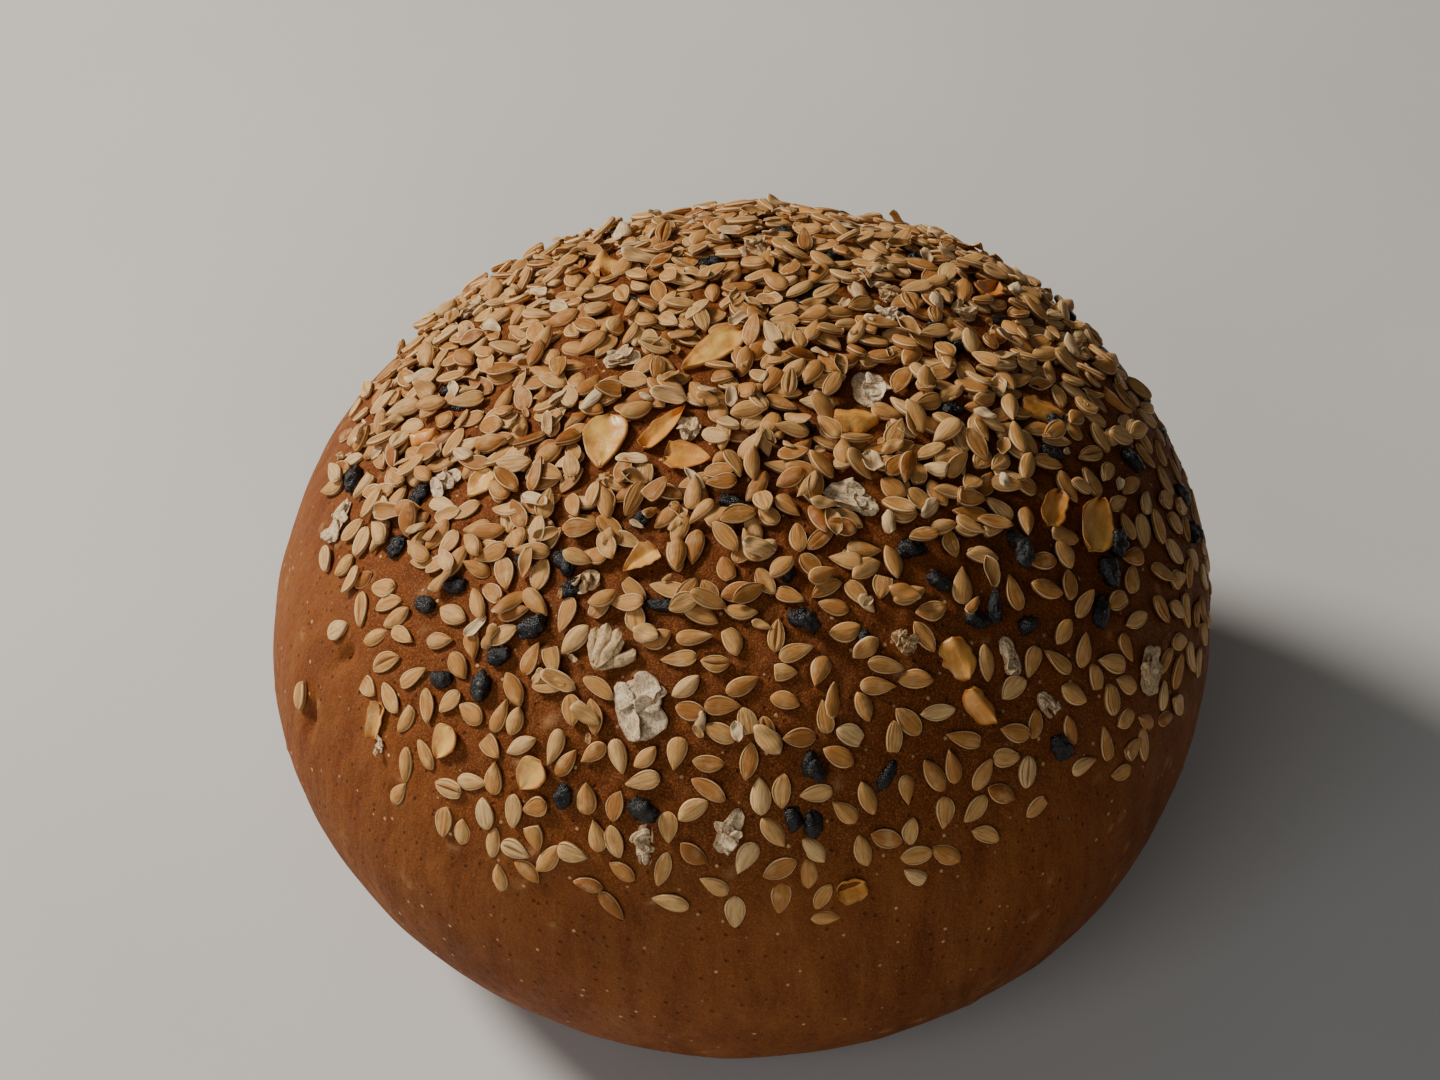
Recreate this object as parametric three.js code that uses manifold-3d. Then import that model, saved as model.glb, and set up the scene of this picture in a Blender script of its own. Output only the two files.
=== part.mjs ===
// A round bread roll with a seed and flake topping, standing on its flat base.
// Millimetres, +Z up, origin on the table under the middle of the roll, front towards -Y.
import * as THREE from "three";
import { mergeVertices } from "three/addons/utils/BufferGeometryUtils.js";
import Module from "manifold-3d";

const wasm = await Module();
wasm.setup();

// ---- Driving dimensions ----

// The loaf: the waist is its widest ring, the crown is above it and the flank below it.
const WAIST_RADIUS = 46.4;
const WAIST_HEIGHT = 25;
const CROWN_RISE = 36;
const BASE_RADIUS = 31;
const HEEL_RADIUS = 3; // rounding between flank and base
const CROWN_ROUNDNESS = 2.22; // 2 is an ellipse, more is squarer
const FLANK_ROUNDNESS = 1.9;
const CROWN_LEAN = 3.1; // how far the crown's top sits off the middle, towards +X
const LEAN_CURVE = 1.3; // 1 leans evenly, more leans mostly near the top
// The rings aren't true circles: how much two and three lobes add, and where they are, in radians.
const OVAL = { share: 0.003, turn: 0 };
const TRIANGLE = { share: 0.003, turn: -1 };

// How finely the loaf is faceted.
const AROUND_STEPS = 60;
const CROWN_STEPS = 15;
const FLANK_STEPS = 6;
const HEEL_STEPS = 3;

// How finely the toppings are faceted: around, and from end to end.
const SEED_FACETS = [8, 6];
const FLAKE_FACETS = [12, 6];

// The topping. Each piece sits in a seat of its own shape in the crust.
const SEAT_GAP = 0.3;
// Where the flakes' waves begin, in radians: two round the outline, and one of folds.
const FLAKE_PHASES = { oval: 2, triangle: 0.6, fold: 1 };
const SESAME = { length: 3.1, width: 1.85, thickness: 0.95, taper: 0.3, sink: 0.3 };
const BLACK_SEED = { length: 2.6, width: 1.7, thickness: 1.3, taper: 0.12, sink: 0.4 };
const GARLIC = { thickness: 0.75, sink: 0.2, curl: 0.5, ripple: 0.08, crumple: 0.1 };
const ONION = { thickness: 1.2, sink: 0.3, curl: 0.2, ripple: 0.16, crumple: 0.3 };

// Where each piece sits. Bearing is in degrees round the roll from the front, positive towards +X.
// Fall is in degrees down from the crown's top, seen from the middle of the waist.
// Spin turns the piece's length from straight downhill, positive towards greater bearings.
const SESAME_PLACES = [
  { bearing: -28, fall: 75, spin: 90 },
  { bearing: -39, fall: 72, spin: 105 },
  { bearing: -38, fall: 76, spin: 10 },
  { bearing: -33, fall: 72.5, spin: 30 },
  { bearing: -67, fall: 68, spin: -25 },
  { bearing: -65, fall: 60, spin: -45 },
  { bearing: -75, fall: 60, spin: 40 },
  { bearing: -21, fall: 73, spin: 90 },
  { bearing: 20, fall: 72.5, spin: 90 },
  { bearing: 24, fall: 68.5, spin: -10 },
  { bearing: 36, fall: 68, spin: -20 },
  { bearing: 52, fall: 67, spin: -15 },
  { bearing: -68, fall: 79, spin: 15 },
];
const BLACK_SEED_PLACES = [
  { bearing: -55, fall: 53, spin: -45 },
  { bearing: -57, fall: 57, spin: -60 },
  { bearing: -69, fall: 56, spin: 20 },
  { bearing: -37, fall: 45, spin: -30 },
  { bearing: -47, fall: 62, spin: -55 },
  { bearing: -41, fall: 56, spin: -45 },
  { bearing: -33, fall: 33, spin: -15 },
  { bearing: -24, fall: 67, spin: 0 },
  { bearing: -12, fall: 27, spin: 90 },
  { bearing: -92, fall: 44, spin: 0 },
  { bearing: -75, fall: 51, spin: 30 },
  { bearing: 18, fall: 14, spin: 75 },
  { bearing: 76, fall: 27, spin: 40 },
  { bearing: 77, fall: 42, spin: 20 },
  { bearing: 6, fall: 43, spin: 60 },
  { bearing: 17, fall: 47, spin: -10 },
  { bearing: 34, fall: 42.5, spin: 30 },
  { bearing: 37, fall: 49, spin: 55 },
  { bearing: 53, fall: 44, spin: 0 },
  { bearing: 7, fall: 60, spin: -5 },
  { bearing: 5, fall: 66, spin: 10 },
];
const GARLIC_PLACES = [
  { bearing: -61, fall: 27.5, spin: 58, length: 6.6, width: 4.2 },
  { bearing: -110, fall: 9.5, spin: 65, length: 8.0, width: 3.2 },
  { bearing: -52, fall: 20, spin: 15, length: 6.4, width: 2.3 },
  { bearing: -88, fall: 49, spin: -10, length: 3.4, width: 2.2 },
  { bearing: -69, fall: 43.5, spin: 30, length: 3.5, width: 2.8 },
  { bearing: 69, fall: 51, spin: -72, length: 6.6, width: 4.0 },
  { bearing: 65, fall: 45, spin: -75, length: 4.6, width: 2.6 },
  { bearing: 88, fall: 39.5, spin: 10, length: 4.6, width: 3.2 },
  { bearing: 31, fall: 52, spin: 10, length: 4.3, width: 3.2 },
  { bearing: -29, fall: 66, spin: 0, length: 3.4, width: 3.0 },
  { bearing: -42, fall: 67.5, spin: 10, length: 3.5, width: 2.9 },
  { bearing: -53, fall: 71, spin: 20, length: 3.8, width: 2.0 },
  { bearing: -28, fall: 38, spin: -20, length: 3.8, width: 2.7 },
  { bearing: -33, fall: 22, spin: -60, length: 4.6, width: 3.4 },
];
const ONION_PLACES = [
  { bearing: -17.5, fall: 54.5, spin: 60, length: 5.8, width: 4.8 },
  { bearing: -3, fall: 67, spin: -12, length: 4.6, width: 2.6 },
  { bearing: 61, fall: 69, spin: 0, length: 4.2, width: 3.8 },
  { bearing: 42, fall: 62, spin: 30, length: 2.8, width: 2.0 },
  { bearing: -13, fall: 70, spin: 15, length: 4.2, width: 2.2 },
  { bearing: 39, fall: 54.5, spin: 0, length: 4.0, width: 2.0 },
  { bearing: 162, fall: 45, spin: 105, length: 5.6, width: 3.0 },
  { bearing: 24, fall: 27, spin: 60, length: 5.6, width: 3.4 },
  { bearing: 75, fall: 15, spin: -60, length: 4.6, width: 3.6 },
  { bearing: -98, fall: 22, spin: 20, length: 3.6, width: 2.8 },
  { bearing: -83, fall: 63, spin: 40, length: 4.8, width: 2.8 },
];

// ---- Colours and finishes ----

const finish = (color, roughness) =>
  new THREE.MeshStandardMaterial({ color, roughness, metalness: 0 });
const CRUST = finish("#9a5a26", 0.55);
const SESAME_HULL = finish("#c89a5b", 0.5);
const BLACK_HULL = finish("#1b1c20", 0.45);
const TOASTED_GARLIC = finish("#dca24a", 0.45);
const DRIED_ONION = finish("#d9c39c", 0.7);

// ---- The loaf's surface ----

// The flank's half-ellipse would end this far below the waist, if the base didn't cut it off.
const FLANK_DEPTH =
  WAIST_HEIGHT /
  (1 - (BASE_RADIUS / WAIST_RADIUS) ** FLANK_ROUNDNESS) ** (1 / FLANK_ROUNDNESS);

const flankRadius = (height) =>
  WAIST_RADIUS *
  (1 - ((WAIST_HEIGHT - height) / FLANK_DEPTH) ** FLANK_ROUNDNESS) ** (1 / FLANK_ROUNDNESS);

// Leans and lobes a point of the plain turned shape, to make it the real, slightly uneven one.
function uneven(point) {
  const bearing = Math.atan2(point.x, -point.y);
  const lobes =
    1 +
    OVAL.share * Math.cos(2 * bearing + OVAL.turn) +
    TRIANGLE.share * Math.cos(3 * bearing + TRIANGLE.turn);
  const rise = Math.max(0, (point.z - WAIST_HEIGHT) / CROWN_RISE);
  return point.set(point.x * lobes + CROWN_LEAN * rise ** LEAN_CURVE, point.y * lobes, point.z);
}

// The crust at a bearing and fall above the waist, in degrees.
function crownPoint(bearing, fall) {
  const b = THREE.MathUtils.degToRad(bearing);
  const f = THREE.MathUtils.degToRad(fall);
  const reach =
    ((Math.sin(f) / WAIST_RADIUS) ** CROWN_ROUNDNESS +
      (Math.cos(f) / CROWN_RISE) ** CROWN_ROUNDNESS) **
    (-1 / CROWN_ROUNDNESS);
  const out = reach * Math.sin(f);
  const height = WAIST_HEIGHT + reach * Math.cos(f);
  return uneven(new THREE.Vector3(out * Math.sin(b), -out * Math.cos(b), height));
}

// A frame on the crust: X downhill turned by the spin, Z straight out of the crust.
function crustFrame({ bearing, fall, spin }) {
  const step = 1;
  const origin = crownPoint(bearing, fall);
  const downhill = crownPoint(bearing, fall + step).sub(crownPoint(bearing, fall - step));
  const across = crownPoint(bearing + step, fall).sub(crownPoint(bearing - step, fall));
  const outward = new THREE.Vector3().crossVectors(downhill, across).normalize();
  const along = downhill.normalize().applyAxisAngle(outward, THREE.MathUtils.degToRad(spin));
  const side = new THREE.Vector3().crossVectors(outward, along);
  return new THREE.Matrix4().makeBasis(along, side, outward).setPosition(origin);
}

function loafGeometry() {
  const heelTop = flankRadius(HEEL_RADIUS);
  const heel = new THREE.QuadraticBezierCurve(
    new THREE.Vector2(BASE_RADIUS - HEEL_RADIUS, 0),
    new THREE.Vector2(BASE_RADIUS, 0),
    new THREE.Vector2(heelTop, HEEL_RADIUS),
  );
  const profile = [new THREE.Vector2(0, 0), ...heel.getPoints(HEEL_STEPS)];
  for (let i = 1; i < FLANK_STEPS; i++) {
    const height = HEEL_RADIUS + (i / FLANK_STEPS) * (WAIST_HEIGHT - HEEL_RADIUS);
    profile.push(new THREE.Vector2(flankRadius(height), height));
  }
  for (let i = 0; i < CROWN_STEPS; i++) {
    const angle = ((i / CROWN_STEPS) * Math.PI) / 2;
    const power = 2 / CROWN_ROUNDNESS;
    const out = WAIST_RADIUS * Math.cos(angle) ** power;
    profile.push(new THREE.Vector2(out, WAIST_HEIGHT + CROWN_RISE * Math.sin(angle) ** power));
  }
  profile.push(new THREE.Vector2(0, WAIST_HEIGHT + CROWN_RISE));
  const turned = new THREE.LatheGeometry(profile, AROUND_STEPS).rotateX(Math.PI / 2);
  return moulded(turned, uneven);
}

// ---- Shapes of the topping ----

// Moves every vertex of a geometry by a function of its position.
function moulded(geometry, move) {
  const position = geometry.getAttribute("position");
  const point = new THREE.Vector3();
  for (let i = 0; i < position.count; i++) {
    move(point.fromBufferAttribute(position, i));
    position.setXYZ(i, point.x, point.y, point.z);
  }
  geometry.computeVertexNormals();
  return geometry;
}

// A seed with its length along X: a blunt end at -X and a pointed one at +X.
function seedGeometry({ length, width, thickness, taper }, grow = 0) {
  const ball = new THREE.SphereGeometry(1, ...SEED_FACETS).rotateZ(-Math.PI / 2);
  return moulded(ball, (p) => {
    const waist = 1 - taper * p.x;
    return p.set(
      p.x * (length / 2 + grow),
      p.y * (width / 2 + grow) * waist,
      p.z * (thickness / 2 + grow) * waist,
    );
  });
}

// A dried flake: a thin dish with a wavy outline, lying in XY with its edges curling up.
function flakeGeometry({ length, width, thickness, curl, ripple, crumple }, grow = 0) {
  const ball = new THREE.SphereGeometry(1, ...FLAKE_FACETS).rotateX(Math.PI / 2);
  return moulded(ball, (p) => {
    const angle = Math.atan2(p.y, p.x);
    const reach = Math.hypot(p.x, p.y);
    const waves = Math.cos(2 * angle + FLAKE_PHASES.oval) + Math.cos(3 * angle + FLAKE_PHASES.triangle);
    const outline = 1 + ripple * waves;
    const lift = curl * reach ** 2 * Math.cos(angle) ** 2;
    const folds = crumple * reach * Math.sin(3 * angle + FLAKE_PHASES.fold);
    return p.set(
      p.x * outline * (length / 2 + grow),
      p.y * outline * (width / 2 + grow),
      p.z * (thickness / 2 + grow) + lift + folds,
    );
  });
}

// ---- Solids ----

function solidOf(geometry, matrix = new THREE.Matrix4()) {
  const bare = new THREE.BufferGeometry();
  bare.setAttribute("position", geometry.getAttribute("position").clone());
  bare.setIndex(geometry.index);
  const merged = mergeVertices(bare.applyMatrix4(matrix), 1e-4);
  return new wasm.Manifold(
    new wasm.Mesh({
      numProp: 3,
      vertProperties: merged.getAttribute("position").array,
      triVerts: new Uint32Array(merged.index.array),
    }),
  );
}

function geometryOf(solid) {
  const { numProp, numVert, vertProperties, triVerts } = solid.getMesh();
  const position = new Float32Array(numVert * 3);
  for (let i = 0; i < numVert; i++) {
    position.set(vertProperties.subarray(i * numProp, i * numProp + 3), i * 3);
  }
  const geometry = new THREE.BufferGeometry();
  geometry.setAttribute("position", new THREE.BufferAttribute(position, 3));
  geometry.setIndex(new THREE.BufferAttribute(triVerts, 1));
  geometry.computeVertexNormals();
  return geometry;
}

// ---- Assembly ----

const roll = new THREE.Group();
let loaf = solidOf(loafGeometry());

// Adds one topping mesh for each place, and cuts its seat into the loaf.
function addTopping(name, kind, places, shape, material) {
  places.forEach((place, i) => {
    const size = { ...kind, ...place };
    const seated = new THREE.Matrix4().makeTranslation(0, 0, kind.thickness / 2 - kind.sink);
    const matrix = crustFrame(place).multiply(seated);
    loaf = loaf.subtract(solidOf(shape(size, SEAT_GAP), matrix));
    const mesh = new THREE.Mesh(shape(size), material);
    mesh.name = `${name}_${String(i + 1).padStart(2, "0")}`;
    matrix.decompose(mesh.position, mesh.quaternion, mesh.scale);
    roll.add(mesh);
  });
}

addTopping("sesame_seed", SESAME, SESAME_PLACES, seedGeometry, SESAME_HULL);
addTopping("black_seed", BLACK_SEED, BLACK_SEED_PLACES, seedGeometry, BLACK_HULL);
addTopping("garlic_flake", GARLIC, GARLIC_PLACES, flakeGeometry, TOASTED_GARLIC);
addTopping("onion_flake", ONION, ONION_PLACES, flakeGeometry, DRIED_ONION);

const baked = new THREE.Mesh(geometryOf(loaf), CRUST);
baked.name = "loaf";
roll.add(baked);

export default roll;
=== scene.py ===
import math

import bmesh
import bpy
import numpy as np
from mathutils import Euler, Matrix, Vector, noise
from mathutils.bvhtree import BVHTree


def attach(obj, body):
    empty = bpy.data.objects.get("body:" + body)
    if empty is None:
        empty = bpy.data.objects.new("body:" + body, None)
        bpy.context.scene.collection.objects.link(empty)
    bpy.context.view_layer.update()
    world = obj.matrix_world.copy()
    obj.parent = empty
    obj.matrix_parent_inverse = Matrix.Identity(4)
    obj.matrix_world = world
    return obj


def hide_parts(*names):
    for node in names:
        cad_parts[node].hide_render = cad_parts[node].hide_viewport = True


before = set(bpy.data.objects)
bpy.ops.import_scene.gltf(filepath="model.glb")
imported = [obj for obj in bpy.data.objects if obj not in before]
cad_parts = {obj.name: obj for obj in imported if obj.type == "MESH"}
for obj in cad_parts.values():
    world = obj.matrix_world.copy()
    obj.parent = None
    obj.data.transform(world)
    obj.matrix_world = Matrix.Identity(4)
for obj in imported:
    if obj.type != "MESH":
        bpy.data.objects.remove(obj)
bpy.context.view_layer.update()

# A seeded bread roll. Lengths in this script are in millimetres until a mesh is made.
# Bearing is in degrees round the roll from its front (-Y), positive towards +X.
# Fall is in degrees down from straight above, seen from the middle of the waist.
MM = 0.001
FULL_TURN = 360
HALF_TURN = 180

# ---- Sizes ----

SESAME = {"length": 3.25, "width": 1.8, "thickness": 0.7}
BLACK_SEED = {"length": 2.7, "width": 1.75, "thickness": 1.35}
LONG_BLACK = np.array([1.2, 0.75, 0.85])
SESAME_SINK = 0.18
BLACK_SINK = 0.35
HUSK_HALF = (1.4, 0.8)  # half length and half width of what a husk rests on
HUSK_THICKNESS = 0.1
GARLIC_THICKNESS = 0.26
ONION_THICKNESS = 0.13

# How many different shapes are drawn, and how many places are tried with them.
SESAME_SHAPES, FLAT_TRIES, PILED_TRIES = 28, 13000, 2600
HUSK_SHAPES, HUSK_TRIES = 16, 900
BLACK_SHAPES = 9

# How high a piece may rest on others, and how far the ends of a flat-lying seed may rise.
FLAT_LIFT, FLAT_RISE, PILED_LIFT, HUSK_LIFT = 0.12, 0.35, 0.85, 1.2
# The steepest that a resting piece leans, along it and across it.
MOST_SLOPE = (0.34, 0.42)

# ---- Places of the larger pieces that the CAD model doesn't hold ----

# (bearing, fall)
BLACK_PLACES = [
    (-39, 59), (-46, 43), (-37, 41), (-36, 50), (-15, 42), (-12, 66), (-99, 44), (-88, 59),
    (-133, 44), (-142, 52), (-157, 49), (-136, 23), (147, 19), (154, 31), (170, 37), (110, 30),
    (104, 32), (115, 41), (128, 52), (123, 57), (108, 63), (103, 66), (85, 44), (88, 56), (70, 56),
    (92, 67), (88, 70), (37, 39), (54, 47.5), (65, 57), (44, 50), (47, 54), (59, 59), (12, 44),
    (10, 37), (10, 61), (19, 63), (9, 67), (43, 68), (-170, 26), (165, 58), (-120, 30), (140, 40),
]
# (bearing, fall, spin, length, width)
GARLIC_PLACES = [
    (34, 59, 15, 4.0, 2.2), (56, 20, 40, 4.2, 3.2), (168, 50, 80, 3.0, 2.4), (13, 75, 90, 2.8, 2.3),
    (125, 44, 30, 4.4, 3.0), (-145, 36, -40, 4.6, 3.2), (-165, 55, 70, 3.8, 2.8),
    (100, 55, -20, 3.6, 2.6),
]
ONION_FAN_PLACES = [(-22, 49, 165, 5.4, 3.8)]
ONION_PLACES = [
    (27, 49, 20, 2.8, 1.9), (118, 25, 0, 3.2, 2.4), (130, 28, 50, 3.0, 2.2),
    (117, 36, 80, 3.2, 2.4), (-31, 42, -30, 3.0, 2.4), (-30, 15, 30, 3.2, 2.0),
    (-95, 62, 10, 2.4, 1.5), (-73, 45, 0, 3.3, 2.2), (-50, 73, 40, 2.0, 1.2),
    (175, 30, 15, 3.4, 2.6), (-125, 50, 35, 3.6, 2.4), (142, 62, -25, 3.6, 2.6),
    (-170, 44, 60, 3.0, 2.2),
]

# The garlic flakes that are whole, smooth slices.
SMOOTH_GARLIC = ("garlic_flake_01", "garlic_flake_02", "garlic_flake_05", "garlic_flake_10",
                 "garlic_flake_11")

# (bearing, fall, spin) of hollows that lifted seeds have left in the bare crust.
HOLLOW_PLACES = [(-63.2, 69.3, -20), (-65, 80, 10), (86, 84, 70)]
HOLLOW = {"depth": 1.3, "half_length": 1.7, "half_width": 0.7}
# Half sizes of the space round a hollow that seeds keep out of.
HOLLOW_CLEAR = (2.4, 1.4)

# How far down the crust the topping reaches, as fall at each bearing.
COVER_EDGE = [
    (-180, 64), (-150, 60), (-120, 60), (-100, 62), (-80, 63), (-62, 67), (-40, 74), (-15, 76),
    (10, 75), (22, 73), (40, 72), (60, 76), (80, 79), (105, 78), (130, 74), (155, 68), (180, 64),
]
# Seeds are piled down to one fall at the back and a smaller one at the sparse side, then thin out.
SPARSE_BEARING = 15
PILED_TO, SPARSE_LESS, THIN_OUT = 60, 36, 24
# The fall inside which seeds belong to the crown's own mesh.
CROWN_ZONE = 26

# ---- Crust ----

# (height, width, seed) of its lumps.
CRUST_LUMPS = [(0.5, 22, 1), (0.16, 7, 2), (0.07, 3, 3)]
CRUST_AROUND = 432
BLISTERS, BLISTER_HEIGHT = 170, 0.16
# The crust sinks under a seed and swells beside it. Distances from it are in its half sizes.
DENT = {"depth": 0.16, "full": 0.7, "end": 1.15}
SWELL = {"height": 0.1, "at": 1.55, "width": 0.3}
MOST_DENT = 0.3

# ---- Stage, in metres from the middle of the waist. The lens and sensor are in millimetres ----

KEY_LIGHT = {"place": (-0.54, 0.225, 0.465), "size": 0.2, "power": 7.0, "colour": (1.0, 0.95, 0.87)}
FILL_LIGHT = {"place": (-0.45, -0.8, 0.45), "size": 0.8, "power": 2.9, "colour": (0.94, 0.97, 1.0)}
ROOM_COLOUR, ROOM_STRENGTH = (1.0, 0.98, 0.95, 1), 0.075
FLOOR_HALF = 6.0
CAMERA_ELEVATION = math.radians(45)
CAMERA_DISTANCE, CAMERA_LENS, CAMERA_SENSOR = 420 * MM, 105.4, 36
# How far from the middle the camera aims: to the side, and upwards as it sees it.
AIM_SIDE, AIM_UP = -2 * MM, 9.6 * MM

# How far the textures of successive small shapes are shifted, and where the shifts start again.
TEXTURE_STEP, TEXTURE_WRAP = (3.7, 1.9), (61, 43)


def smoothstep(low, high, x):
    t = np.clip((x - low) / (high - low), 0, 1)
    return t * t * (3 - 2 * t)


# ---- The loaf's smooth skin ----


def convex_hull_tree(mesh):
    """The loaf's convex hull, as a tree that rays can hit."""
    shape = bmesh.new()
    shape.from_mesh(mesh)
    hull = bmesh.ops.convex_hull(shape, input=shape.verts)
    bmesh.ops.delete(shape, geom=list(set(hull["geom_interior"])), context="VERTS")
    bmesh.ops.triangulate(shape, faces=shape.faces)
    tree = BVHTree.FromBMesh(shape)
    shape.free()
    return tree


def gaussian_kernel(sigma):
    reach = int(3 * sigma)
    steps = np.arange(-reach, reach + 1)
    weights = np.exp(-0.5 * (steps / sigma) ** 2)
    return steps, weights / weights.sum()


class Skin:
    """The distance from the middle of the waist to the crust, in every whole degree."""

    def __init__(self, mesh):
        points = np.array([v.co[:] for v in mesh.vertices]) / MM
        widest = np.hypot(points[:, 0], points[:, 1]).argmax()
        self.centre = np.array([0.0, 0.0, points[widest, 2]])
        tree = convex_hull_tree(mesh)
        reach = np.empty((FULL_TURN, HALF_TURN + 1))
        for b in range(FULL_TURN):
            for f in range(HALF_TURN + 1):
                hit = tree.ray_cast(Vector(self.centre * MM), Vector(direction(b, f)))
                reach[b, f] = hit[3] / MM
        self.reach = self.smoothed(reach)

    @staticmethod
    def smoothed(reach, sigma=2.5):
        steps, weights = gaussian_kernel(sigma)
        round_it = sum(w * np.roll(reach, s, axis=0) for s, w in zip(steps, weights))
        beyond = np.roll(round_it, HALF_TURN, axis=0)
        pad = len(steps) // 2
        top = beyond[:, pad:0:-1]
        bottom = beyond[:, -2:-pad - 2:-1]
        wide = np.concatenate([top, round_it, bottom], axis=1)
        count = reach.shape[1]
        return sum(w * wide[:, pad + s:pad + s + count] for s, w in zip(steps, weights))

    def points(self, bearing, fall):
        """Points of the skin at arrays of bearings and falls."""
        b = np.asarray(bearing, float) % FULL_TURN
        f = np.clip(np.asarray(fall, float), 0, HALF_TURN)
        b0 = np.floor(b).astype(int)
        f0 = np.minimum(np.floor(f).astype(int), HALF_TURN - 1)
        b1 = (b0 + 1) % FULL_TURN
        s, t = b - b0, f - f0
        b0 = b0 % FULL_TURN
        near = self.reach[b0, f0] * (1 - t) + self.reach[b0, f0 + 1] * t
        far = self.reach[b1, f0] * (1 - t) + self.reach[b1, f0 + 1] * t
        out = near * (1 - s) + far * s
        return self.centre + direction(b, f) * out[..., None]

    def frame(self, bearing, fall, spin):
        """Origin and axes on the skin: X downhill turned by the spin, Z out of the crust."""
        step = 1.5
        origin = self.points(bearing, fall)
        downhill = self.points(bearing, fall + step) - self.points(bearing, max(fall - step, 0))
        across = self.points(bearing + step, fall) - self.points(bearing - step, fall)
        outward = np.cross(downhill, across)
        outward /= np.linalg.norm(outward)
        downhill /= np.linalg.norm(downhill)
        side = np.cross(outward, downhill)
        turn = math.radians(spin)
        along = math.cos(turn) * downhill + math.sin(turn) * side
        return origin, np.array([along, np.cross(outward, along), outward])


def direction(bearing, fall):
    b, f = np.radians(bearing), np.radians(fall)
    return np.stack([np.sin(f) * np.sin(b), -np.sin(f) * np.cos(b), np.cos(f) + 0 * b], axis=-1)


def bearing_and_fall(offset):
    """The inverse of direction, for one vector or many."""
    bearing = np.degrees(np.arctan2(offset[..., 0], -offset[..., 1]))
    flat = np.hypot(offset[..., 0], offset[..., 1])
    return bearing, np.degrees(np.arctan2(flat, offset[..., 2]))


skin = Skin(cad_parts["loaf"].data)

# ---- Mesh helpers ----


def grid_faces(rings, around):
    """Quads between rings of equal length, as vertex numbers. Ring k starts at k * around."""
    k, j = np.meshgrid(np.arange(rings - 1), np.arange(around), indexing="ij")
    here, ahead = k * around + j, k * around + (j + 1) % around
    return np.stack([here, ahead, ahead + around, here + around], axis=-1).reshape(-1, 4)


def closed_faces(rings, around):
    """Faces of a body of rings, closed by two tips that are numbered after the rings."""
    tip, last = rings * around, (rings - 1) * around
    faces = [f[::-1].tolist() for f in grid_faces(rings, around)]
    faces += [[tip, j, (j + 1) % around] for j in range(around)]
    faces += [[tip + 1, last + (j + 1) % around, last + j] for j in range(around)]
    return faces


def noise_at(points, scale, seed=0.0):
    """Smooth noise from -1 to 1 at points in millimetres, with lumps about scale wide."""
    shift = Vector((seed * 17.3, seed * 9.1, seed * 5.7))
    return np.array([noise.noise(Vector(p) / scale + shift) for p in points])


def new_object(name, data):
    thing = bpy.data.objects.new(name, data)
    bpy.context.scene.collection.objects.link(thing)
    return thing


def make_piece(name, points, faces, material, stands_for=(), paint=None, own=None):
    """A finished mesh piece from points in millimetres, riding on the roll.

    paint is three values a point for the material, and own the point's place in its own seed."""
    mesh = bpy.data.meshes.new(name)
    mesh.from_pydata((np.asarray(points) * MM).tolist(), [], [list(map(int, f)) for f in faces])
    mesh.validate()
    mesh.shade_smooth()
    if paint is not None:
        colour = mesh.attributes.new("paint", "FLOAT_COLOR", "POINT")
        rgba = np.ones((len(points), 4), np.float32)
        rgba[:, :3] = paint
        colour.data.foreach_set("color", rgba.ravel())
    if own is not None:
        place = mesh.attributes.new("own", "FLOAT_VECTOR", "POINT")
        place.data.foreach_set("vector", np.asarray(own, np.float32).ravel())
    mesh.materials.append(material)
    piece = new_object(name, mesh)
    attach(piece, "root")
    if stands_for:
        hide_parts(*stands_for)
    return piece


class Batch:
    """Many small closed shapes gathered into one mesh."""

    def __init__(self):
        self.points, self.faces, self.paint, self.own, self.count = [], [], [], [], 0

    def add(self, shape, place, faces, paint):
        """shape is the points as modelled, and place the same points on the roll."""
        self.points.append(place)
        self.faces.extend([[i + self.count for i in f] for f in faces])
        self.paint.append(paint)
        shift = [len(self.own) * step % wrap for step, wrap in zip(TEXTURE_STEP, TEXTURE_WRAP)]
        self.own.append(shape + np.array([*shift, 0]))
        self.count += len(place)

    def piece(self, name, material, slot, stands_for=()):
        points = np.concatenate(self.points)
        paint, own = np.concatenate(self.paint), np.concatenate(self.own)
        return make_piece(name, points, self.faces, material, stands_for, paint, own)


# ---- Shapes of the topping, lying in XY with Z up ----


# Where a seed has its points: across its top and underside, and along it.
ACROSS_TOP = np.array([-1, -0.93, -0.82, -0.6, -0.36, -0.14, 0, 0.14, 0.36, 0.6, 0.82, 0.93, 1])
ACROSS_UNDER = np.array([0.75, 0.25, -0.25, -0.75])
ALONG = np.array([0.03, 0.1, 0.2, 0.32, 0.45, 0.58, 0.7, 0.8, 0.88, 0.94, 0.98])


def leaf_width(x, blunt, sharp):
    """Half width, at most 1, at x from -1 to 1. A smaller power makes its end rounder."""
    peak = (blunt - sharp) / (blunt + sharp)
    most = (1 + peak) ** blunt * (1 - peak) ** sharp
    return (1 + x) ** blunt * (1 - x) ** sharp / most


def sizes_of(seed):
    return np.array([seed["length"], seed["width"], seed["thickness"]])


def gauss(x, middle, width):
    return np.exp(-((x - middle) / width) ** 2)


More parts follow.
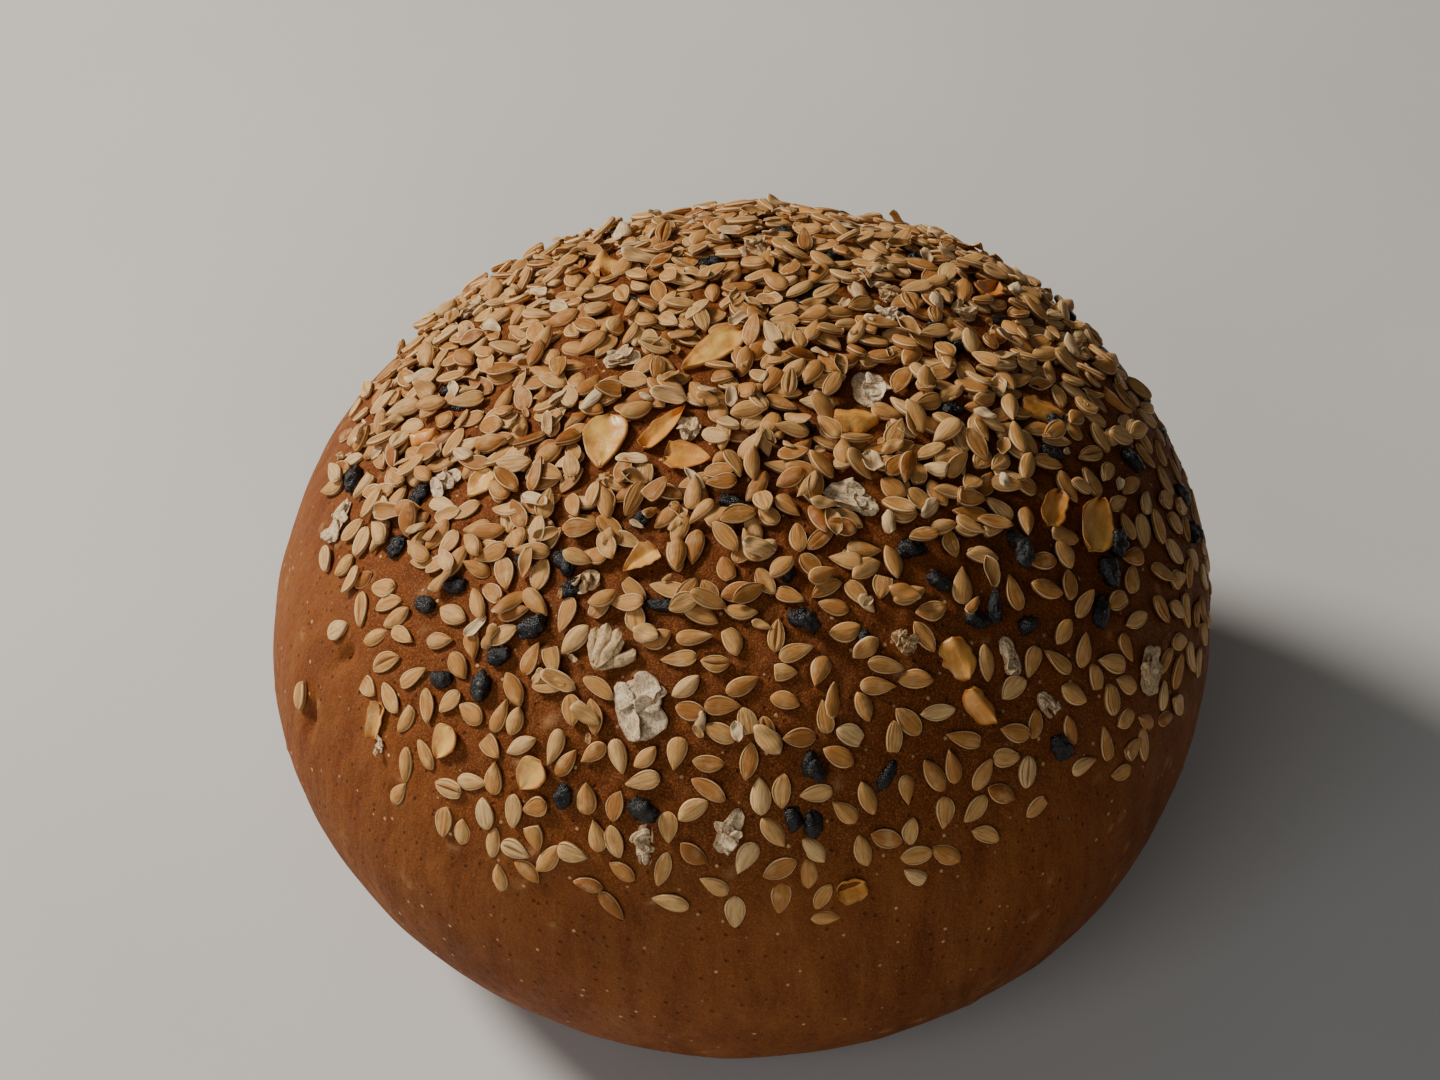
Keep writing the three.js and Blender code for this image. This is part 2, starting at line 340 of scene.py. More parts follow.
def sesame_shape(rng):
    """A hulled sesame seed: a flat leaf or teardrop with a raised rim. Some are split or broken."""
    if rng.random() < 0.45:
        blunt, sharp = rng.uniform(0.64, 0.9, 2)
    else:
        blunt, sharp = rng.uniform(0.48, 0.64), rng.uniform(0.8, 1.1)
    thick = SESAME["thickness"] * rng.uniform(0.85, 1.15)
    bend, sag = rng.normal(0, 0.12), rng.normal(0, 0.07)
    cut = rng.uniform(0.4, 0.75) if rng.random() < 0.07 else 1.0
    split = 1.0 if rng.random() < 0.06 else 0.0
    dip = rng.uniform(0.0, 0.16)
    ribs = rng.normal(0, 0.025, len(ACROSS_TOP))

    loop = np.concatenate([ACROSS_TOP, ACROSS_UNDER])
    x, v = np.meshgrid(-1 + (cut + 1) * ALONG, loop, indexing="ij")
    side = np.abs(v)
    ends = np.sqrt(1 - x ** 6)
    slit = split * (0.36 * gauss(v, 0, 0.1) - 0.08 * gauss(side, 0.32, 0.15)) * (1 - x ** 2)
    hollow = dip * (1 - v ** 2) * (1 - x ** 2)
    top = 0.5 - 0.12 * v ** 2 - 0.15 * gauss(side, 0.79, 0.06) - slit - hollow
    top = top + np.interp(v, ACROSS_TOP, ribs)
    top = np.where(side < 1, top, 0) * ends
    under = -0.5 * (1 - 0.8 * v ** 2) * ends
    upper = np.arange(len(loop)) < len(ACROSS_TOP)
    height = thick * np.where(upper, top, under) + sag * x ** 2
    across = (bend * (1 - x ** 2) + leaf_width(x, blunt, sharp) * v) * SESAME["width"] / 2
    points = np.stack([x * SESAME["length"] / 2, across, height], axis=-1).reshape(-1, 3)
    tips = [[-SESAME["length"] / 2, 0, sag], [cut * SESAME["length"] / 2, 0, sag * cut ** 2]]
    points = np.vstack([points, tips])

    faces = closed_faces(len(ALONG), len(loop))
    far = (2 * ALONG - 1)[:, None] ** 8
    share = np.append((1 - (1 - side) * (1 - far)).ravel(), [1, 1])
    # The split's mask, which the material uses to paint shade into the split.
    split_shade = np.append((split * gauss(v, 0, 0.16) * upper * (1 - x ** 2)).ravel(), [0, 0])
    return points, faces, share, split_shade


def sheet_shape(length, width, half, roll, relief, thickness, along=10, across=9):
    """A closed thin sheet along X, rolled up across its width by an angle.

    half gives its half width, at most 1, from x, and relief gives heights to add from x and v.
    x and v run from -1 to 1 along and across it. Returns points, faces and nearness to the edge."""
    x, v = np.meshgrid(np.linspace(-1, 1, along), np.linspace(-1, 1, across), indexing="ij")
    angle = v * roll / 2
    radius = half(x, v) * width / roll
    middle = np.stack([x * length / 2, radius * np.sin(angle),
                       radius * (1 - np.cos(angle)) + relief(x, v)], axis=-1)
    normal = np.stack([0 * angle, -np.sin(angle), np.cos(angle)], axis=-1)
    share = np.maximum(np.abs(x), np.abs(v))
    gap = (thickness / 2 * (1 - 0.65 * share ** 8))[..., None] * normal
    points = np.concatenate([(middle + gap).reshape(-1, 3), (middle - gap).reshape(-1, 3)])
    i, j = np.meshgrid(np.arange(along - 1), np.arange(across - 1), indexing="ij")
    here = (i * across + j).ravel()
    quads = np.stack([here, here + across, here + across + 1, here + 1], axis=-1)
    under = along * across
    faces = quads.tolist() + (quads[:, ::-1] + under).tolist()
    number = np.arange(under).reshape(along, across)
    border = np.concatenate(
        [number[:-1, 0], number[-1, :-1], number[:0:-1, -1], number[0, :0:-1]])
    onward = np.roll(border, -1)
    faces += [[a + under, b + under, b, a] for a, b in zip(border.tolist(), onward.tolist())]
    return points, faces, np.tile(share.ravel(), 2)


def torn_leaf(rng, blunt, sharp, ragged, least=0.12):
    """A leaf's half width for sheet_shape, with uneven sides."""
    steps = np.linspace(-1, 1, 9)
    left, right = 1 + ragged * rng.normal(size=(2, len(steps)))
    return lambda x, v: np.maximum(leaf_width(x, blunt, sharp), least) * np.where(
        v < 0, np.interp(x, steps, left), np.interp(x, steps, right))


def husk_shape(rng):
    """Half of a split hull: a thin boat with torn ends."""
    length, width = rng.uniform(2.0, 3.4), rng.uniform(1.2, 1.9)
    half = torn_leaf(rng, rng.uniform(0.25, 0.6), rng.uniform(0.3, 0.8), 0.07)
    rise, phase = rng.uniform(0.05, 0.14), rng.uniform(0, 2 * np.pi)
    lift = rng.uniform(-0.1, 0.35)

    def relief(x, v):
        return rise * np.sin(4 * x + phase + 2 * v) + lift * x ** 2

    return sheet_shape(length, width, half, rng.uniform(1.2, 2.6), relief, HUSK_THICKNESS)


def black_seed_shape(rng):
    """A black seed: a blunt, faintly three-sided body with a net of wrinkles."""
    around, rings = 24, 17
    turn = np.linspace(0, 2 * np.pi, around, endpoint=False)
    along = np.linspace(0, np.pi, rings + 2)[1:-1]
    rows = []
    for t in along:
        bulk = np.sin(t) ** 0.75
        corner = 1 + 0.1 * np.cos(3 * turn + rng.uniform(0, 0.2))
        rows.append(np.column_stack([
            np.full(around, -np.cos(t)), bulk * corner * np.cos(turn),
            bulk * corner * np.sin(turn)]))
    points = np.vstack([*rows, [[-1, 0, 0], [1, 0, 0]]])
    points *= sizes_of(BLACK_SEED) / 2
    points[:, 1:] *= (1 - 0.1 * points[:, :1])
    seed = rng.uniform(0, 50)
    wrinkle = 1 - np.abs(noise_at(points * [0.6, 1, 1], 0.42, seed)) * 5
    lumps = noise_at(points, 0.9, seed + 1)
    size = np.linalg.norm(points, axis=1, keepdims=True)
    points += points / size * (0.12 * np.clip(wrinkle, -1, 1) + 0.3 * lumps)[:, None]
    faces = [f[::-1] for f in closed_faces(rings, around)]
    return points, faces, np.clip(0.5 + 0.5 * wrinkle, 0, 1)


def garlic_shape(rng, length, width, smooth=False):
    """Toasted garlic: a whole slice, dished and thin at its edge, or a torn and pleated piece."""
    seed = rng.uniform(0, 90)
    pleat = 0.0 if smooth else rng.uniform(0.5, 1.1) * rng.choice([-1, 1])
    wander = rng.uniform(-0.5, 0.5)
    if smooth:
        half = torn_leaf(rng, 0.42, 0.78, 0.015, 0.07)
    else:
        half = torn_leaf(rng, rng.uniform(0.12, 0.4), rng.uniform(0.3, 0.7), 0.1)

    def relief(x, v):
        flat = np.column_stack([(x * length / 2).ravel(), (v * width / 2).ravel(), 0 * x.ravel()])
        lumps = noise_at(flat, 1.6, seed).reshape(x.shape)
        fold = np.sqrt((v - 0.4 * wander * x - 0.6 * wander) ** 2 + 0.02)
        return 0.24 * lumps + pleat * fold + 0.12 * x ** 2

    roll = rng.uniform(0.5, 1.0)
    return sheet_shape(length, width, half, roll, relief, GARLIC_THICKNESS, 22, 17)


def turn_matrix(about_z, tip_x, tip_y):
    return np.array(Euler((tip_x, tip_y, about_z)).to_matrix())


def onion_shape(rng, length, width, fan=False):
    """A clump of dried onion: thin curled petals crumpled together, or spread in a fan."""
    all_points, all_faces, all_share = [], [], []
    count = 0
    petals = rng.integers(5, 8) if fan else rng.integers(5, 10)
    biggest = 0.95 - 0.03 * petals
    for k in range(petals):
        lowest = k == 0 and not fan
        long = length * (0.85 if fan else rng.uniform(0.5, 1.0) * biggest)
        wide = width * (0.5 if fan else rng.uniform(0.5, 0.9) * biggest)
        if lowest:
            long, wide = 0.95 * length, 0.95 * width
        half = torn_leaf(rng, rng.uniform(0.2, 0.6), rng.uniform(0.15, 0.5), 0.08)
        waves, phase, height = rng.uniform(3, 6), rng.uniform(0, 2 * np.pi), rng.uniform(0.04, 0.1)

        def relief(x, v):
            return height * np.sin(waves * x + phase + 3 * v) + 0.03 * np.sin(6 * v + phase)

        roll = rng.uniform(0.8, 2.2)
        petal, faces, share = sheet_shape(
            long, wide, half, roll, relief, ONION_THICKNESS, 14, 13)
        if fan:
            spread = (k / (petals - 1) - 0.5) * 0.9 + rng.normal(0, 0.08)
            petal *= rng.uniform(0.65, 1.05)
            petal[:, 0] += long / 2
            petal[:, 2] *= -1
            petal = petal @ turn_matrix(spread, rng.normal(0, 0.2), rng.normal(0, 0.08)).T
            petal += [-long / 2, 0, 0.2 + 0.05 * k]
        else:
            over = np.pi if rng.random() < 0.6 else 0.0
            turn = turn_matrix(
                rng.uniform(0, 2 * np.pi), over + rng.normal(0, 0.4), rng.normal(0, 0.3))
            shift = rng.uniform(-0.3, 0.3, 2) * [length, width]
            if lowest:
                petal[:, 2] *= 0.5  # a nearly flat sheet that the others lie on
            else:
                petal = petal @ turn.T + [*shift, rng.uniform(0.1, 0.8)]
        all_points.append(petal)
        all_faces += [[i + count for i in f] for f in faces]
        all_share.append(share)
        count += len(petal)
    return np.vstack(all_points), all_faces, np.concatenate(all_share)


def onion_fan_shape(rng, length, width):
    return onion_shape(rng, length, width, fan=True)


# ---- Laying pieces on the crust and on each other ----


class Heap:
    """Everything laid so far, so that a new piece can rest on what is under it."""

    cell = 4.0

    def __init__(self):
        self.laid = {}

    def key(self, p):
        return tuple(np.floor(p / self.cell).astype(int))

    def add(self, origin, axes, half_length, half_width, low, top, hard=False):
        entry = (origin, axes, half_length, half_width, low, top, hard)
        self.laid.setdefault(self.key(origin), []).append(entry)

    def near(self, p):
        i, j, k = self.key(p)
        steps = (-1, 0, 1)
        return [e for a in steps for b in steps for c in steps
                for e in self.laid.get((i + a, j + b, k + c), ())]

    def support(self, samples):
        """How high the things under each sample point reach, and whether one must be kept clear."""
        high = np.zeros(len(samples))
        blocked = False
        for origin, axes, a, b, low, top, hard in self.near(samples[0]):
            local = (samples - origin) @ axes.T
            inside = (local[:, 0] / a) ** 2 + (local[:, 1] / b) ** 2
            under = inside < 1
            if under.any():
                blocked = blocked or hard
                rise = low + (top - low) * np.sqrt(np.clip(1 - inside, 0, 1))
                high = np.where(under, np.maximum(high, rise), high)
        return high, blocked


FOOTPRINT = np.array([(0, 0)] + [(0.8 * math.cos(t), 0.8 * math.sin(t))
                                 for t in np.arange(8) * math.pi / 4])
# Turns support heights at the footprint's samples into a height and two slopes.
FIT = np.linalg.pinv(np.column_stack([np.ones(len(FOOTPRINT)), FOOTPRINT]))


def rest_on(heap, origin, axes, half_length, half_width):
    """How a flat piece comes to rest: its height at the middle and its rise at its two ends."""
    samples = origin + FOOTPRINT * [half_length, half_width] @ axes[:2]
    high, blocked = heap.support(samples)
    if not high.any():
        return 0.0, 0.0, 0.0, blocked
    _, rise_x, rise_y = FIT @ high
    limit_x, limit_y = MOST_SLOPE[0] * half_length, MOST_SLOPE[1] * half_width
    rise_x = np.clip(rise_x, -limit_x, limit_x)
    rise_y = np.clip(rise_y, -limit_y, limit_y)
    height = (high - FOOTPRINT @ [rise_x, rise_y]).max()
    return height, rise_x, rise_y, blocked


def tilted(axes, slope_x, slope_y):
    """Axes turned so that X rises by slope_x and Y by slope_y."""
    along = axes[0] + slope_x * axes[2]
    side = axes[1] + slope_y * axes[2]
    along = along / np.linalg.norm(along)
    outward = np.cross(along, side)
    outward /= np.linalg.norm(outward)
    return np.array([along, np.cross(outward, along), outward])


def cover_edge(bearing):
    return np.interp(bearing, *zip(*COVER_EDGE))


def crowding(bearing, fall):
    """0 where the seeds lie apart to 1 where they are piled, on the crown and back."""
    front = 0.5 + 0.5 * math.cos(math.radians(bearing - SPARSE_BEARING))
    start = PILED_TO - SPARSE_LESS * front
    return float(1 - smoothstep(start, start + THIN_OUT, fall))


heap = Heap()


def cad_pose(node):
    """A CAD piece's middle, axes (length, width, thickness) and half sizes, in millimetres."""
    co = np.array([v.co[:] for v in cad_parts[node].data.vertices]) / MM
    middle = (co.max(0) + co.min(0)) / 2
    bearing, fall = bearing_and_fall(middle - skin.centre)
    flat_axes = skin.frame(bearing, fall, 0)[1]
    local = (co - middle) @ flat_axes.T
    _, turn = np.linalg.eigh(np.cov(local[:, :2].T))
    along = turn[:, 1] @ flat_axes[:2]
    along /= np.linalg.norm(along)
    outward = flat_axes[2]
    axes = np.array([along, np.cross(outward, along), outward])
    local = (co - middle) @ axes.T
    middle = middle + ((local.max(0) + local.min(0)) / 2) @ axes
    if (local[:, 0] ** 3).sum() < 0:
        axes[:2] *= -1  # X points to the end with more of the mesh
    return middle, axes, np.ptp(local, axis=0) / 2


def keep_hollows_clear():
    for bearing, fall, spin in HOLLOW_PLACES:
        origin, axes = skin.frame(bearing, fall, spin)
        heap.add(origin, axes, *HOLLOW_CLEAR, 0, 0, hard=True)


def nodes_named(start):
    return sorted(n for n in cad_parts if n.startswith(start))


# ---- Materials ----


class Nodes:
    """A short way to write a node material."""

    def __init__(self, name, roughness, specular):
        self.material = bpy.data.materials.new(name)
        self.material.use_nodes = True
        self.tree = self.material.node_tree
        self.shader = self.tree.nodes["Principled BSDF"]
        self.shader.inputs["Roughness"].default_value = roughness
        self.shader.inputs["Specular IOR Level"].default_value = specular
        self.place = self.new("TexCoord").outputs["Object"]
        self.unit = MM

    def new(self, kind):
        return self.tree.nodes.new("ShaderNode" + kind)

    def attribute(self, name, output):
        node = self.new("Attribute")
        node.attribute_name = name
        return node.outputs[output]

    def use_own_place(self):
        """Textures follow each seed or flake's own shape from here on."""
        self.place = self.attribute("own", "Vector")
        self.unit = 1.0

    def link(self, a, b):
        self.tree.links.new(a, b)

    def fill(self, sockets, values):
        """Sets or links each socket. A tuple is a colour in 0-255 display values."""
        for socket, value in zip(sockets, values):
            if isinstance(value, (int, float)):
                socket.default_value = value
            elif isinstance(value, tuple):
                socket.default_value = (*srgb(*value), 1)
            else:
                self.link(value, socket)

    def noise(self, size, detail=3.0, roughness=0.55, stretch=None):
        """Noise whose lumps are about size millimetres wide."""
        node = self.new("TexNoise")
        node.inputs["Scale"].default_value = 1 / (size * self.unit)
        node.inputs["Detail"].default_value = detail
        node.inputs["Roughness"].default_value = roughness
        place = self.place
        if stretch:
            mapping = self.new("Mapping")
            mapping.inputs["Scale"].default_value = stretch
            self.link(place, mapping.inputs["Vector"])
            place = mapping.outputs["Vector"]
        self.link(place, node.inputs["Vector"])
        return node.outputs["Fac"]

    def cells(self, size):
        """Distance to the nearest of scattered points about size millimetres apart."""
        node = self.new("TexVoronoi")
        node.inputs["Scale"].default_value = 1 / (size * self.unit)
        self.link(self.place, node.inputs["Vector"])
        return node.outputs["Distance"]

    def ramp(self, value, *stops):
        """0-255 display colours, or greys from 0 to 1, at positions from 0 to 1."""
        node = self.new("ValToRGB")
        elements = node.color_ramp.elements
        while len(elements) < len(stops):
            elements.new(0.5)
        for element, (at, colour) in zip(elements, stops):
            element.position = at
            grey = isinstance(colour, (int, float))
            element.color = (colour, colour, colour, 1) if grey else (*srgb(*colour), 1)
        self.link(value, node.inputs["Fac"])
        return node.outputs["Color"]

    def mix(self, factor, a, b):
        node = self.new("Mix")
        node.data_type = "RGBA"
        self.fill([node.inputs[k] for k in (0, 6, 7)], (factor, a, b))
        return node.outputs[2]

    def math(self, kind, a, b):
        node = self.new("Math")
        node.operation = kind
        self.fill(node.inputs, (a, b))
        return node.outputs[0]

    def paint(self):
        """The three values painted on the mesh's points."""
        colour = self.attribute("paint", "Color")
        split = self.new("SeparateColor")
        self.link(colour, split.inputs["Color"])
        return split.outputs

    def bump(self, height, distance, strength=1.0):
        node = self.new("Bump")
        node.inputs["Distance"].default_value = distance * MM
        node.inputs["Strength"].default_value = strength
        self.link(height, node.inputs["Height"])
        self.link(node.outputs["Normal"], self.shader.inputs["Normal"])

    def finish(self, colour, roughness=None):
        self.link(colour, self.shader.inputs["Base Color"])
        if roughness is not None:
            self.link(roughness, self.shader.inputs["Roughness"])
        return self.material


def srgb(r, g, b):
    """A 0-255 display colour as the shader's linear values."""
    return tuple(((c / 255 + 0.055) / 1.055) ** 2.4 if c > 10 else c / 255 / 12.92
                 for c in (r, g, b))


def crust_material():
    """Baked crust: mottled orange-brown, fine grain, small pores darkened with painted shade, and
    pale specks.
    """
    n = Nodes("baked_crust", 0.6, 0.12)
    covered, blister, base = n.paint()
    mottle = n.ramp(n.noise(13, 4), (0.3, (102, 50, 17)), (0.5, (116, 60, 22)),
                    (0.7, (130, 72, 29)))
    streaks = n.noise(3, 4, 0.65, stretch=(1.0, 1.0, 0.22))
    colour = n.mix(n.ramp(streaks, (0.42, 0.0), (0.72, 0.5)), mottle, (148, 92, 44))
    colour = n.mix(n.ramp(streaks, (0.25, 0.5), (0.45, 0.0)), colour, (84, 36, 12))
    deep = n.mix(n.noise(2.2, 3), (88, 39, 12), (130, 68, 25))
    colour = n.mix(covered, colour, deep)
    grain = n.noise(0.17, 3, 0.7)
    strength = n.math("ADD", 0.3, n.math("MULTIPLY", covered, 0.28))
    bright = n.math("MULTIPLY", n.ramp(grain, (0.5, 0.0), (0.66, 1.0)), strength)
    colour = n.mix(bright, colour, (186, 122, 58))
    dark = n.math("MULTIPLY", n.ramp(grain, (0.32, 0.8), (0.47, 0.0)), strength)
    colour = n.mix(dark, colour, (70, 30, 8))
    pits = n.ramp(n.cells(1.3), (0.07, 1.0), (0.2, 0.0))
    # Darker pits: painted shade in the pores, which the bump also sinks.
    colour = n.mix(n.math("MULTIPLY", pits, 0.6), colour, (62, 26, 8))
    specks = n.ramp(n.cells(1.9), (0.08, 1.0), (0.12, 0.0))
    few = n.ramp(n.noise(9, 2), (0.34, 0.0), (0.52, 0.85))
    pale = n.math("MAXIMUM", n.math("MULTIPLY", specks, few), n.math("MULTIPLY", blister, 0.35))
    colour = n.mix(pale, colour, (214, 168, 116))
    underside = n.mix(n.noise(3, 4), (92, 48, 22), (150, 92, 48))
    colour = n.mix(base, colour, underside)
    relief = n.math("ADD", n.math("MULTIPLY", grain, strength), n.noise(1.1, 3))
    relief = n.math("SUBTRACT", relief, n.math("MULTIPLY", pits, 0.6))
    relief = n.math("ADD", relief, n.math("MULTIPLY", specks, 0.5))
    relief = n.math("ADD", relief, n.math("MULTIPLY", streaks, 1.2))
    n.bump(relief, 0.24, 0.9)
    rough = n.ramp(n.noise(1.4, 3), (0.3, 0.55), (0.7, 0.75))
    return n.finish(colour, rough)


def sesame_material():
    """Toasted hull: golden tan, streaked lengthwise; painted highlight on the thin rim, painted
    shade in the groove inside it, in the split and partly at the dark outer edge.
    """
    n = Nodes("toasted_sesame", 0.5, 0.16)
    tone, edge, split_shade = n.paint()
    n.use_own_place()
    body = n.ramp(tone, (0.0, (148, 86, 34)), (0.3, (186, 128, 66)),
                  (0.65, (206, 154, 90)), (1.0, (228, 190, 132)))
    streak = n.ramp(n.noise(0.6, 3, 0.6, stretch=(0.35, 2.6, 1.0)), (0.4, 0.0), (0.7, 0.6))
    colour = n.mix(streak, body, (150, 92, 40))
    pale = n.ramp(n.noise(1.1, 2), (0.5, 0.0), (0.78, 0.5))
    colour = n.mix(pale, colour, (224, 190, 134))
    # Painted shade: a darker line in the groove just inside the rim.
    painted_groove_shade = n.ramp(edge, (0.7, 0.0), (0.79, 0.55), (0.85, 0.0))
    colour = n.mix(painted_groove_shade, colour, (120, 66, 26))
    # Painted highlight: a pale line along the raised rim, as if lit.
    rim = n.ramp(edge, (0.83, 0.0), (0.9, 0.75), (0.95, 0.75), (0.975, 0.0))
    colour = n.mix(rim, colour, (234, 204, 154))
    # Darker outermost edge: partly the hull's own brown outline, partly painted shade where the
    # seed meets what it rests on.
    dark_edge_and_shade = n.ramp(edge, (0.96, 0.0), (1.0, 0.7))
    colour = n.mix(dark_edge_and_shade, colour, (120, 66, 26))
    # Painted shade down the split of split seeds.
    colour = n.mix(n.math("MULTIPLY", split_shade, 0.6), colour, (110, 60, 26))
    n.bump(n.noise(0.25, 2, 0.6, stretch=(0.35, 2.0, 1.0)), 0.07, 0.8)
    return n.finish(colour, n.ramp(n.noise(0.8, 2), (0.3, 0.42), (0.7, 0.6)))


def husk_material():
    """Split hulls: pale, thin and papery."""
    n = Nodes("split_husk", 0.5, 0.2)
    tone, edge, _ = n.paint()
    n.use_own_place()
    body = n.ramp(tone, (0.0, (168, 112, 54)), (0.55, (206, 160, 98)),
                  (1.0, (232, 208, 168)))
    streak = n.ramp(n.noise(0.5, 3, 0.6, stretch=(0.35, 2.6, 1.0)), (0.4, 0.0), (0.7, 0.65))
    colour = n.mix(streak, body, (146, 92, 42))
    colour = n.mix(n.ramp(edge, (0.8, 0.0), (1.0, 0.7)), colour, (236, 212, 168))
    n.bump(n.noise(0.25, 2, 0.6, stretch=(0.35, 2.0, 1.0)), 0.07, 0.8)
    return n.finish(colour, n.ramp(n.noise(0.8, 2), (0.3, 0.4), (0.7, 0.6)))


def black_seed_material():
    """Near-black and wrinkled, glossy in the hollows, with grey speckles and painted highlight on
    the ridges.
    """
    n = Nodes("black_seed_hull", 0.35, 0.5)
    tone, ridge, _ = n.paint()
    n.use_own_place()
    body = n.ramp(tone, (0.0, (12, 10, 9)), (0.7, (16, 12, 11)), (1.0, (24, 20, 18)))
    # Paler grey on the wrinkle ridges: partly grey speckles of the hull, partly painted highlight.
    ridge_speckle_and_highlight = n.math("MULTIPLY", n.ramp(n.noise(0.22, 3, 0.7), (0.54, 0.0), (0.68, 0.8)), ridge)
    colour = n.mix(ridge_speckle_and_highlight, body, (72, 66, 62))
    n.bump(n.noise(0.2, 3, 0.7), 0.16, 1.0)
    return n.finish(colour, n.ramp(n.noise(0.4, 2), (0.35, 0.2), (0.65, 0.42)))


def garlic_material():
    """Toasted garlic: clear yellow to orange, browned at the edges."""
    n = Nodes("toasted_garlic", 0.35, 0.5)
    tone, edge, _ = n.paint()
    n.use_own_place()
    body = n.ramp(tone, (0.0, (200, 112, 40)), (0.45, (220, 150, 62)),
                  (1.0, (230, 182, 92)))
    cloud = n.ramp(n.noise(1.8, 3), (0.42, 0.0), (0.68, 0.8))
    colour = n.mix(cloud, body, (206, 122, 42))
    veins = n.ramp(n.noise(0.6, 3, stretch=(0.25, 1.6, 1)), (0.45, 0.0), (0.7, 0.3))
    colour = n.mix(veins, colour, (240, 204, 132))
    colour = n.mix(n.ramp(edge, (0.8, 0.0), (0.97, 0.7), (1.0, 0.2)), colour, (160, 88, 36))
    n.bump(n.noise(0.5, 3), 0.1, 0.7)
    return n.finish(colour, n.ramp(n.noise(0.9, 2), (0.3, 0.28), (0.7, 0.5)))


def onion_material():
    """Dried onion: pale cream, papery, with thin brown veins."""
    n = Nodes("dried_onion", 0.6, 0.35)
    tone, edge, _ = n.paint()
    n.use_own_place()
    body = n.ramp(tone, (0.0, (190, 150, 98)), (0.5, (216, 184, 136)),
                  (1.0, (236, 216, 180)))
    cloud = n.ramp(n.noise(1.2, 3), (0.42, 0.0), (0.75, 0.45))
    colour = n.mix(cloud, body, (190, 146, 92))
    veins = n.ramp(n.noise(0.7, 3, 0.6), (0.465, 0.0), (0.5, 0.85), (0.535, 0.0))
    colour = n.mix(veins, colour, (112, 66, 32))
    ribs = n.ramp(n.noise(0.35, 2, 0.6, stretch=(0.3, 1.8, 1.0)), (0.4, 0.35), (0.5, 0.0))
    colour = n.mix(ribs, colour, (164, 116, 68))
    colour = n.mix(n.ramp(edge, (0.86, 0.0), (1.0, 0.45)), colour, (160, 112, 66))
    n.bump(n.noise(0.5, 3), 0.12, 0.8)
    return n.finish(colour, n.ramp(n.noise(0.9, 2), (0.3, 0.5), (0.7, 0.7)))


def floor_material():
    n = Nodes("pale_floor", 0.75, 0.3)
    colour = n.ramp(n.noise(90, 3), (0.3, (212, 210, 206)), (0.7, (220, 218, 214)))
    return n.finish(colour)


# ---- Fine pieces in place of the CAD toppings ----


def to_world(points, origin, axes):
    return origin + points @ axes


def paint_of(tone, first, second=None):
    """Values to paint: the piece's own tone, and two that change over its surface."""
    second = np.zeros(len(first)) if second is None else second
    return np.column_stack([np.full(len(first), tone), first, second])


def fitted(points, half):
    """Points scaled to fill half sizes along X, Y and Z."""
    middle = (points.max(0) + points.min(0)) / 2
    return (points - middle) * (half / (np.ptp(points, axis=0) / 2))


def single_piece(node, shape, faces, paint, slot):
    middle, axes, half = cad_pose(node)
    if node in SMOOTH_GARLIC and axes[0][1] > 0:
        axes[:2] *= -1  # the points of whole slices face the front
    points = to_world(fitted(shape, half), middle, axes)
    batch = Batch()
    batch.add(shape, points, faces, paint)
    batch.piece(node + "_fine", MATERIALS[slot], slot, (node,))
    base = middle - axes[2] * half[2]
    hard = node.startswith(("garlic", "onion"))
    heap.add(base, axes, half[0], half[1], 0.3, 2 * half[2], hard)


def build_cad_toppings():
    rng = np.random.default_rng(5)
    for node in nodes_named("sesame_seed"):
        points, faces, share, split_shade = sesame_shape(rng)
        paint = paint_of(rng.uniform(0.4, 1), share, split_shade)
        single_piece(node, points, faces, paint, "sesame")
    for node in nodes_named("black_seed"):
        points, faces, ridge = black_seed_shape(rng)
        paint = paint_of(rng.uniform(0, 0.9), ridge)
        single_piece(node, points, faces, paint, "black_seed")
    for node in nodes_named("garlic_flake"):
        half = cad_pose(node)[2]
        smooth = node in SMOOTH_GARLIC
        points, faces, share = garlic_shape(rng, 2 * half[0], 2 * half[1], smooth)
        tone = 0.9 if smooth else rng.uniform(0.3, 0.9)
        single_piece(node, points, faces, paint_of(tone, share), "garlic")
    for node in nodes_named("onion_flake"):
        half = cad_pose(node)[2]
        points, faces, share = onion_shape(rng, 2 * half[0], 2 * half[1])
        paint = paint_of(rng.uniform(0.7, 1), share)
        single_piece(node, points, faces, paint, "onion")


# ---- The rest of the topping ----


def build_extra_black_seeds(material):
    rng = np.random.default_rng(11)
    shapes = [black_seed_shape(rng) for _ in range(BLACK_SHAPES)]
    batch = Batch()
    for bearing, fall in BLACK_PLACES:
        points, faces, ridge = shapes[rng.integers(len(shapes))]
        origin, axes = skin.frame(bearing, fall, rng.uniform(0, FULL_TURN))
        size = rng.uniform(0.8, 1.15) * (LONG_BLACK if rng.random() < 0.25 else np.ones(3))
        half = sizes_of(BLACK_SEED) / 2 * size
        height, rise_x, rise_y, _ = rest_on(heap, origin, axes, half[0], half[1])
        seat = origin + axes[2] * (height + half[2] - BLACK_SINK)
        turned = tilted(axes, rise_x / half[0], rise_y / half[1])
        place = to_world(points * size, seat, turned)
        batch.add(points, place, faces, paint_of(rng.random() * 0.9, ridge))
        heap.add(origin, axes, half[0], half[1], height + 0.4, height + 2 * half[2] - BLACK_SINK)
    batch.piece("black_seeds_scattered", material, "black_seed")


